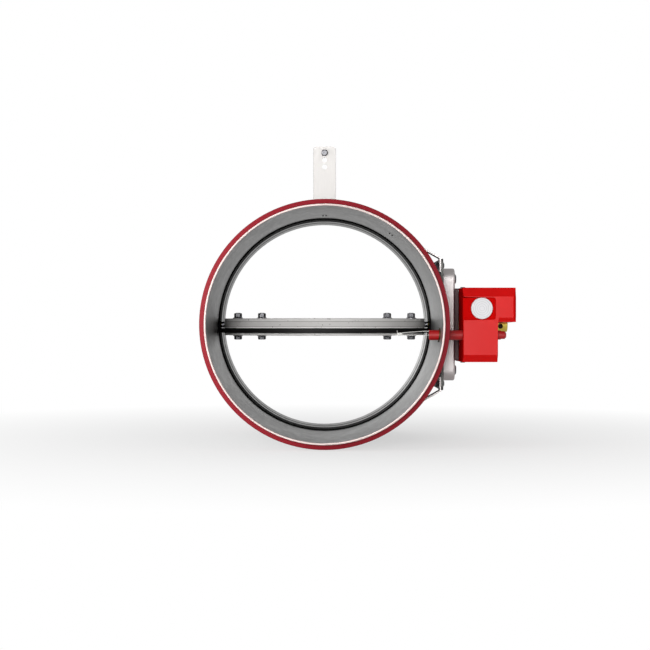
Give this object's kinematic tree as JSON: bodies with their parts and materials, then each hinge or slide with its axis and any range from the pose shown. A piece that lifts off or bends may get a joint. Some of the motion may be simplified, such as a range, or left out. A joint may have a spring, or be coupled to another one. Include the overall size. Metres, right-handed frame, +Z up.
{
  "type": "round fire damper",
  "caption": "Round duct fire damper with a pivoting insulating blade, lip seals and a release mechanism with a fusible link and push button.",
  "frame": {"origin": "where the duct's axis crosses the blade's pivot axis", "axes": "+X along the pivot axis to the release mechanism, +Y along the duct away from the inlet, +Z up"},
  "size_m": [0.42, 0.3984, 0.417],
  "materials": {
    "galvanised": "satin zinc spangle",
    "painted_bracket": "satin white zinc",
    "zinc_plate": "bright zinc sheet",
    "red_rubber": "matt",
    "black_strip": "matt",
    "brass": "turned",
    "fastener": "zinc plated",
    "dark_plastic": "matt",
    "red_plastic": "satin",
    "white_plastic": "satin",
    "spring_steel": "bright wire",
    "black_rubber": "matt",
    "fuse_metal": "tinned",
    "shaft_steel": "turned",
    "board": "mineral board, matt"
  },
  "bodies": {
    "frame": {"tunnel": "galvanised", "inlet_lip_seal": "red_rubber", "outlet_lip_seal": "red_rubber", "intumescent_strip": "black_strip", "blade_stops": "black_rubber", "stop_rivets": "fastener", "drive_side_bush": "brass", "idler_side_bush": "brass", "idler_cap": "galvanised", "wall_tab": "painted_bracket", "tab_screw": "fastener", "saddle_plate": "zinc_plate", "saddle_legs": "zinc_plate", "saddle_screws": "fastener", "saddle_nuts": "fastener", "housing_standoffs": "zinc_plate", "housing_back_plate": "zinc_plate", "transmission_housing": "zinc_plate", "housing_screws": "fastener", "housing_nuts": "fastener", "housing_spacers": "zinc_plate", "mechanism_base": "dark_plastic", "base_screws": "fastener", "mechanism_cover": "red_plastic", "cover_screws": "fastener", "button_retainer": "dark_plastic", "latch_bracket": "zinc_plate", "bracket_rivet": "fastener", "latch_pin": "fastener", "output_bush": "brass", "closing_spring": "spring_steel", "fuse_grommet": "fuse_metal", "fuse_tube": "red_plastic", "fuse_leaves": "fuse_metal", "fuse_solder": "fuse_metal", "fuse_rod": "shaft_steel", "fuse_spring": "spring_steel", "fuse_cap": "red_plastic", "button_spring": "spring_steel"},
    "blade": {"blade_front_board": "board", "blade_core_board": "board", "blade_rear_board": "board", "blade_spacer_board": "board", "blade_seal": "black_rubber", "blade_backing_plate": "board", "drive_shaft": "shaft_steel", "idler_shaft": "shaft_steel", "blade_bolts": "fastener", "blade_nuts": "fastener", "blade_crank": "shaft_steel", "crank_screw": "fastener"},
    "output": {"output_shaft": "shaft_steel", "output_crank": "shaft_steel", "latch_cam": "shaft_steel", "reset_hub": "brass"},
    "rod": {"push_rod": "shaft_steel"},
    "latch": {"latch_lever": "shaft_steel"},
    "button": {"release_button": "white_plastic"}
  },
  "joints": [
    {"name": "blade_turn", "type": "hinge", "parent": "frame", "child": "blade", "pos_m": [0, 0, 0], "axis": [1, 0, 0], "range_deg": [0, 90]},
    {"name": "output_turn", "type": "hinge", "parent": "frame", "child": "output", "pos_m": [0, -0.12, 0], "axis": [1, 0, 0], "range_deg": [0, 90], "deforming": ["closing_spring"]},
    {"name": "rod_swing", "type": "hinge", "parent": "output", "child": "rod", "pos_m": [0, -0.10586, 0.01414], "axis": [1, 0, 0], "range_deg": [-90, 0]},
    {"name": "button_press", "type": "slide", "parent": "frame", "child": "button", "axis": [0, 1, 0], "range_m": [0, 0.004], "stiffness_N_per_m": 600, "springref_m": -0.003, "deforming": ["button_spring"]},
    {"name": "latch_pivot", "type": "hinge", "parent": "frame", "child": "latch", "pos_m": [0, -0.138, 0.0407], "axis": [1, 0, 0], "range_deg": [0, 14.1]}
  ],
  "couplings": [
    {"joint": "output_turn", "follows": "blade_turn", "ratio": 1},
    {"joint": "rod_swing", "follows": "blade_turn", "ratio": -1},
    {"joint": "latch_pivot", "follows": "button_press", "rad_per_m": 61.35}
  ]
}
